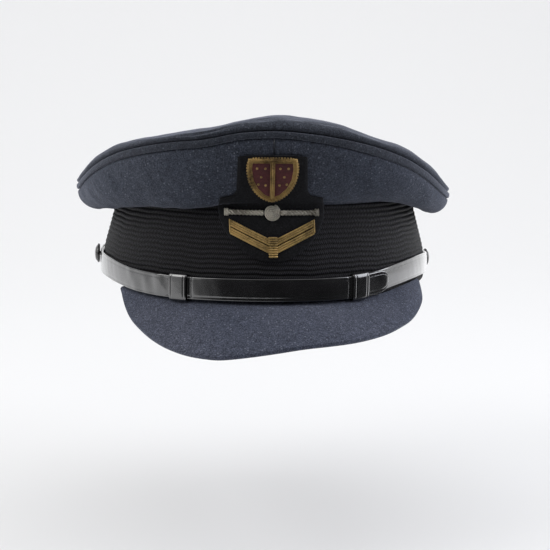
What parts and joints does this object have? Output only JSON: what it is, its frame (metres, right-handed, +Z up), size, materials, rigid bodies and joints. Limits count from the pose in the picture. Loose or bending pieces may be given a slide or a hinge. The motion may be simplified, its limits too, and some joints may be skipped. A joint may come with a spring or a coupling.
{
  "type": "military peaked cap",
  "caption": "Peaked service cap: stiffened cloth crown over a ribbed mohair band, drooping cloth peak, two-piece chin strap on side buttons, embroidered front badge.",
  "frame": {"origin": "centre of the oval head opening, on the plane of the band's lower edge", "axes": "+Z up through the crown, -Y towards the peak and badge, +X towards the wearer's left"},
  "size_m": [0.2086, 0.2485, 0.1156],
  "materials": {
    "wool": "matt wool melton cloth",
    "wool_top": "matt wool melton cloth",
    "lining": "satin lining",
    "mohair": "ribbed mohair braid with a slight sheen",
    "steel_wire": "drawn",
    "spring_plastic": "matt",
    "clear_film": "clear flexible film",
    "board": "matt fibreboard",
    "sweat_leather": "satin",
    "foam": "open-cell foam",
    "ribbon": "satin ribbon",
    "underside_leather": "grained, semi-matt",
    "patent_leather": "high-gloss patent",
    "button_black": "black lacquer",
    "button_metal": "plain",
    "felt_black": "felt",
    "buckram": "stiffened cotton",
    "gold_bullion": "twisted wire, slightly tarnished",
    "silver_bullion": "twisted wire, slightly tarnished",
    "velvet_red": "velvet"
  },
  "bodies": {
    "cap": {"crown_top": "wool_top", "quarter_front_right": "wool", "quarter_front_left": "wool", "quarter_rear_right": "wool", "quarter_rear_left": "wool", "crown_welt": "wool", "grommet_wire": "steel_wire", "grommet_ferrule": "steel_wire", "front_stay": "spring_plastic", "lining_top": "lining", "lining_side": "lining", "sweat_shield": "clear_film", "band_foundation": "board", "mohair_braid": "mohair", "sweatband": "sweat_leather", "sweatband_reed": "spring_plastic", "sweatband_bow": "ribbon", "forehead_pad": "foam", "peak_cloth": "wool", "peak_board": "board", "peak_underside": "underside_leather", "badge_patch": "felt_black", "badge_backing": "buckram", "badge_shield": "gold_bullion", "badge_velvet": "velvet_red", "badge_rope_bar": "silver_bullion", "badge_rosette": "silver_bullion", "badge_chevron": "gold_bullion", "badge_tie": "gold_bullion", "left_eyelet": "button_metal", "right_eyelet": "button_metal"},
    "chinstrap_outer_half": {"chinstrap_outer": "patent_leather", "keeper_right": "patent_leather"},
    "chinstrap_inner_half": {"chinstrap_inner": "patent_leather", "keeper_left": "patent_leather"},
    "right_button": {"right_button_face": "button_black", "right_button_back": "button_metal", "right_button_shank": "button_metal", "right_split_pin": "button_metal"},
    "left_button": {"left_button_face": "button_black", "left_button_back": "button_metal", "left_button_shank": "button_metal", "left_split_pin": "button_metal"}
  },
  "joints": [
    {"name": "chinstrap_outer_lift", "type": "hinge", "parent": "cap", "child": "chinstrap_outer_half", "pos_m": [-0.0903, 0, 0.0107], "axis": [-0.9995, -0.0277, 0.0155], "range_deg": [0, 3.5]},
    {"name": "chinstrap_inner_lift", "type": "hinge", "parent": "cap", "child": "chinstrap_inner_half", "pos_m": [0.0902, 0.005, 0.0079], "axis": [-0.9995, -0.0277, 0.0155], "range_deg": [0, 3.5]},
    {"name": "right_button_spin", "type": "hinge", "parent": "cap", "child": "right_button", "pos_m": [-0.0903, 0, 0.0107], "axis": [-0.9995, -0.0277, 0.0155], "continuous": true},
    {"name": "left_button_spin", "type": "hinge", "parent": "cap", "child": "left_button", "pos_m": [0.0902, 0.005, 0.0079], "axis": [0.9995, 0.0277, -0.0155], "continuous": true}
  ],
  "couplings": [
    {"joint": "chinstrap_inner_lift", "follows": "chinstrap_outer_lift", "ratio": 1}
  ]
}
